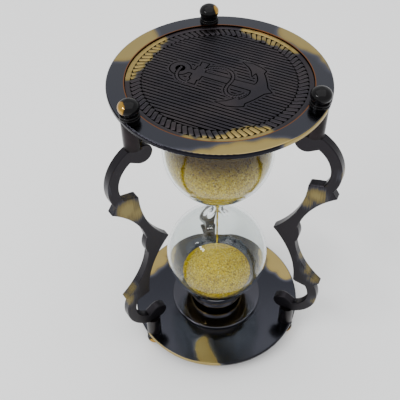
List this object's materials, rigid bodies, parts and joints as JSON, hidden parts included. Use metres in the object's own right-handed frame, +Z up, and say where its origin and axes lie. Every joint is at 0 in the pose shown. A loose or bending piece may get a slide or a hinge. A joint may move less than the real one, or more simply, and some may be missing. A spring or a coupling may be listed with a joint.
{
  "type": "hourglass",
  "caption": "Sand timer: blown two-bulb glass with golden sand between round blackened brass end plates tied by scrolled brackets with ball nuts that are also its feet.",
  "frame": {"origin": "on the vertical axis, in the plane that the three ball feet stand on", "axes": "+Z up along the glass; +Y towards the back bracket; +X to the right"},
  "size_m": [0.1088, 0.1117, 0.184],
  "materials": {
    "plate_bronze": "blackened and polished brass with burnt gold patches at the rim",
    "medallion_cast": "struck relief, blackened, satin on the ribs",
    "bracket_brass": "cut and polished brass plate, browned, with rubbed gold patches",
    "turned_black": "turned, blackened and highly polished",
    "ball_nut_black": "turned ball nut, glossy black with a burnt gold side",
    "spacer_brown": "turned tube, dark brown, semi-gloss",
    "stud_steel": "cut thread, bare",
    "glass_clear": "blown clear glass",
    "sand_gold": "fine dry golden sand",
    "cork": "pressed cork"
  },
  "bodies": {
    "root": {"lower_plate": "plate_bronze", "lower_medallion": "medallion_cast", "lower_flange": "turned_black", "lower_socket": "turned_black", "lower_cork_pad": "cork", "lower_socket_screws": "stud_steel", "lower_stud_back": "stud_steel", "lower_spacer_back": "spacer_brown", "lower_stud_left": "stud_steel", "lower_spacer_left": "spacer_brown", "lower_stud_right": "stud_steel", "lower_spacer_right": "spacer_brown", "upper_plate": "plate_bronze", "upper_medallion": "medallion_cast", "upper_flange": "turned_black", "upper_socket": "turned_black", "upper_cork_pad": "cork", "upper_socket_screws": "stud_steel", "upper_stud_back": "stud_steel", "upper_spacer_back": "spacer_brown", "upper_stud_left": "stud_steel", "upper_spacer_left": "spacer_brown", "upper_stud_right": "stud_steel", "upper_spacer_right": "spacer_brown", "bracket_back": "bracket_brass", "bracket_left": "bracket_brass", "bracket_right": "bracket_brass", "glass_vessel": "glass_clear", "fill_plug": "cork", "upper_sand": "sand_gold", "sand_stream": "sand_gold", "lower_sand": "sand_gold"},
    "upper_washer_back": {"upper_washer_back": "turned_black"},
    "upper_ball_nut_back": {"upper_ball_nut_back": "ball_nut_black"},
    "upper_washer_left": {"upper_washer_left": "turned_black"},
    "upper_ball_nut_left": {"upper_ball_nut_left": "ball_nut_black"},
    "upper_washer_right": {"upper_washer_right": "turned_black"},
    "upper_ball_nut_right": {"upper_ball_nut_right": "ball_nut_black"},
    "lower_washer_back": {"lower_washer_back": "turned_black"},
    "lower_ball_nut_back": {"lower_ball_nut_back": "ball_nut_black"},
    "lower_washer_left": {"lower_washer_left": "turned_black"},
    "lower_ball_nut_left": {"lower_ball_nut_left": "ball_nut_black"},
    "lower_washer_right": {"lower_washer_right": "turned_black"},
    "lower_ball_nut_right": {"lower_ball_nut_right": "ball_nut_black"}
  },
  "joints": [
    {"name": "upper_nut_back_lift", "type": "slide", "parent": "root", "child": "upper_washer_back", "axis": [0, 0, 1], "range_m": [0, 0.004]},
    {"name": "upper_nut_back_turn", "type": "hinge", "parent": "upper_washer_back", "child": "upper_ball_nut_back", "pos_m": [0, 0.0458, 0.1757], "axis": [0, 0, 1], "range_deg": [0, 2880]},
    {"name": "upper_nut_left_lift", "type": "slide", "parent": "root", "child": "upper_washer_left", "axis": [0, 0, 1], "range_m": [0, 0.004]},
    {"name": "upper_nut_left_turn", "type": "hinge", "parent": "upper_washer_left", "child": "upper_ball_nut_left", "pos_m": [-0.03966, -0.0229, 0.1757], "axis": [0, 0, 1], "range_deg": [0, 2880]},
    {"name": "upper_nut_right_lift", "type": "slide", "parent": "root", "child": "upper_washer_right", "axis": [0, 0, 1], "range_m": [0, 0.004]},
    {"name": "upper_nut_right_turn", "type": "hinge", "parent": "upper_washer_right", "child": "upper_ball_nut_right", "pos_m": [0.03966, -0.0229, 0.1757], "axis": [0, 0, 1], "range_deg": [0, 2880]},
    {"name": "lower_nut_back_lift", "type": "slide", "parent": "root", "child": "lower_washer_back", "axis": [0, 0, -1], "range_m": [0, 0.004]},
    {"name": "lower_nut_back_turn", "type": "hinge", "parent": "lower_washer_back", "child": "lower_ball_nut_back", "pos_m": [0, 0.0458, 0.0083], "axis": [0, 0, -1], "range_deg": [0, 2880]},
    {"name": "lower_nut_left_lift", "type": "slide", "parent": "root", "child": "lower_washer_left", "axis": [0, 0, -1], "range_m": [0, 0.004]},
    {"name": "lower_nut_left_turn", "type": "hinge", "parent": "lower_washer_left", "child": "lower_ball_nut_left", "pos_m": [-0.03966, -0.0229, 0.0083], "axis": [0, 0, -1], "range_deg": [0, 2880]},
    {"name": "lower_nut_right_lift", "type": "slide", "parent": "root", "child": "lower_washer_right", "axis": [0, 0, -1], "range_m": [0, 0.004]},
    {"name": "lower_nut_right_turn", "type": "hinge", "parent": "lower_washer_right", "child": "lower_ball_nut_right", "pos_m": [0.03966, -0.0229, 0.0083], "axis": [0, 0, -1], "range_deg": [0, 2880]}
  ],
  "couplings": [
    {"joint": "upper_nut_back_turn", "follows": "upper_nut_back_lift", "rad_per_m": 12566},
    {"joint": "upper_nut_left_turn", "follows": "upper_nut_left_lift", "rad_per_m": 12566},
    {"joint": "upper_nut_right_turn", "follows": "upper_nut_right_lift", "rad_per_m": 12566},
    {"joint": "lower_nut_back_turn", "follows": "lower_nut_back_lift", "rad_per_m": 12566},
    {"joint": "lower_nut_left_turn", "follows": "lower_nut_left_lift", "rad_per_m": 12566},
    {"joint": "lower_nut_right_turn", "follows": "lower_nut_right_lift", "rad_per_m": 12566}
  ]
}
